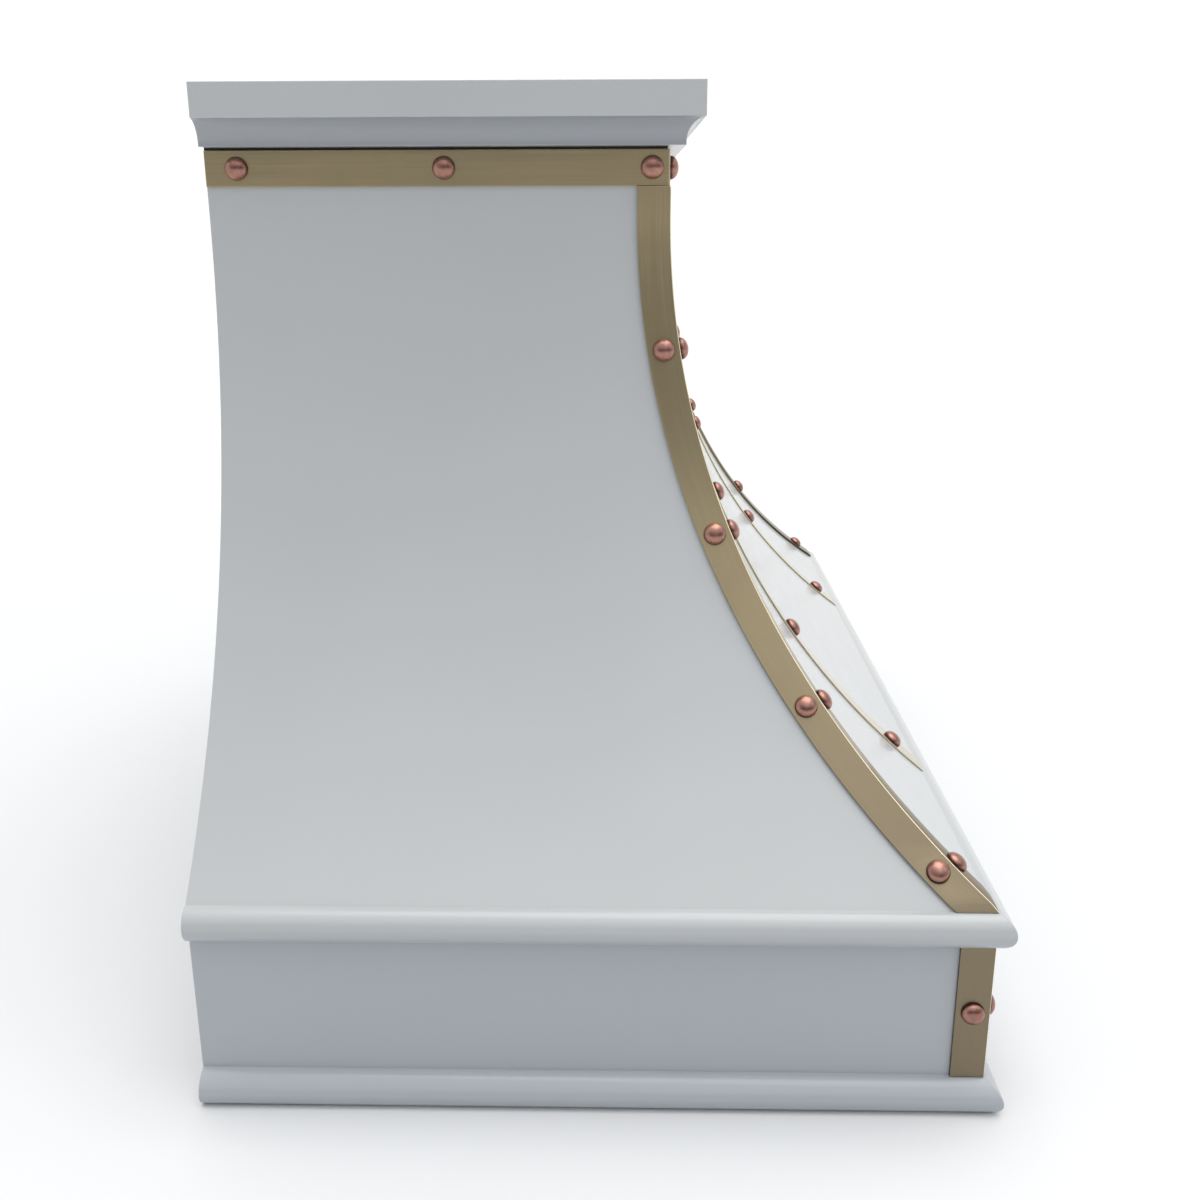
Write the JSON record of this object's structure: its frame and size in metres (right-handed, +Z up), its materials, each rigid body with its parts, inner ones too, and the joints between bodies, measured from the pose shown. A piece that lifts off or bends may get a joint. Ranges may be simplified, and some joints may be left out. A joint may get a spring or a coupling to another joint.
{
  "type": "range hood",
  "caption": "Wall-mounted range hood with a bell-shaped sheet body, crown moulding, brass straps and dome rivets, baffle filters, lamps, blower and damper.",
  "frame": {"origin": "under the middle of the hood, on the plane of its bottom rim, halfway between the wall plane and the front of the foot moulding", "axes": "+Z up, +Y towards the wall, -Y towards the room, +X to the right of a person who faces the hood"},
  "size_m": [1.071, 0.622, 0.762],
  "materials": {
    "body_paint": "satin white paint",
    "brass": "brushed satin",
    "copper": "satin copper",
    "galvanised": "zinc coated",
    "liner_steel": "brushed",
    "filter_steel": "brushed",
    "lens": "frosted",
    "knob_metal": "satin",
    "bright_steel": "bright",
    "black_plastic": "matte",
    "black_rubber": "matte",
    "motor_paint": "semi-gloss"
  },
  "bodies": {
    "hood": {"apron": "body_paint", "apron_front_straps": "brass", "apron_strap_rivets": "copper", "back_plate": "galvanised", "belt_moulding": "body_paint", "cable_bush": "black_rubber", "control_plate": "liner_steel", "corner_strap_rivets": "copper", "crown_moulding": "body_paint", "damper_collar": "galvanised", "damper_pins": "bright_steel", "duct_collar": "galvanised", "duct_pipe": "galvanised", "filter_rails": "liner_steel", "foot_moulding": "body_paint", "front_panel": "body_paint", "front_strap_rivets": "copper", "junction_box": "galvanised", "junction_cover": "galvanised", "lamp_housings": "liner_steel", "lamp_lenses": "lens", "left_apron_strap": "brass", "left_corner_strap": "brass", "left_front_strap": "brass", "left_side_panel": "body_paint", "liner_canopy": "liner_steel", "liner_ceiling": "liner_steel", "liner_support_angles": "galvanised", "motor": "motor_paint", "motor_bracket": "galvanised", "mounting_rails": "galvanised", "neck_band": "brass", "neck_band_rivets": "copper", "outlet_transition": "galvanised", "plenum_box": "galvanised", "right_apron_strap": "brass", "right_corner_strap": "brass", "right_front_strap": "brass", "right_side_panel": "body_paint", "screws": "bright_steel", "scroll_housing": "galvanised", "switch_bodies": "black_plastic", "top_plate": "galvanised"},
    "fan_wheel": {"impeller": "galvanised", "motor_shaft": "bright_steel"},
    "fan_speed_knob": {"fan_knob": "knob_metal", "fan_knob_shaft": "bright_steel"},
    "lamp_dimmer_knob": {"lamp_knob": "knob_metal", "lamp_knob_shaft": "bright_steel"},
    "left_filter": {"left_filter_frame": "filter_steel", "left_filter_baffles": "filter_steel", "left_filter_handle": "filter_steel"},
    "middle_filter": {"middle_filter_frame": "filter_steel", "middle_filter_baffles": "filter_steel", "middle_filter_handle": "filter_steel"},
    "right_filter": {"right_filter_frame": "filter_steel", "right_filter_baffles": "filter_steel", "right_filter_handle": "filter_steel"},
    "rear_flap": {"rear_damper_flap": "galvanised"},
    "front_flap": {"front_damper_flap": "galvanised"}
  },
  "joints": [
    {"name": "fan_spin", "type": "hinge", "parent": "hood", "child": "fan_wheel", "pos_m": [0, 0.066, 0.372], "axis": [1, 0, 0], "continuous": true},
    {"name": "fan_speed_turn", "type": "hinge", "parent": "hood", "child": "fan_speed_knob", "pos_m": [-0.045, -0.1901, 0.117], "axis": [0, 0, 1], "range_deg": [0, 120]},
    {"name": "lamp_dimmer_turn", "type": "hinge", "parent": "hood", "child": "lamp_dimmer_knob", "pos_m": [0.045, -0.1901, 0.117], "axis": [0, 0, 1], "range_deg": [0, 270]},
    {"name": "rear_flap_swing", "type": "hinge", "parent": "hood", "child": "rear_flap", "pos_m": [0, 0.1315, 0.5732], "axis": [1, 0, 0], "range_deg": [0, 80]},
    {"name": "front_flap_swing", "type": "hinge", "parent": "hood", "child": "front_flap", "pos_m": [0, 0.1195, 0.5732], "axis": [-1, 0, 0], "range_deg": [0, 80]},
    {"name": "left_filter_slide", "type": "slide", "parent": "hood", "child": "left_filter", "axis": [0, 1, 0], "range_m": [0, 0.01]},
    {"name": "middle_filter_slide", "type": "slide", "parent": "hood", "child": "middle_filter", "axis": [0, 1, 0], "range_m": [0, 0.01]},
    {"name": "right_filter_slide", "type": "slide", "parent": "hood", "child": "right_filter", "axis": [0, 1, 0], "range_m": [0, 0.01]}
  ],
  "couplings": [
    {"joint": "front_flap_swing", "follows": "rear_flap_swing", "ratio": 1}
  ]
}
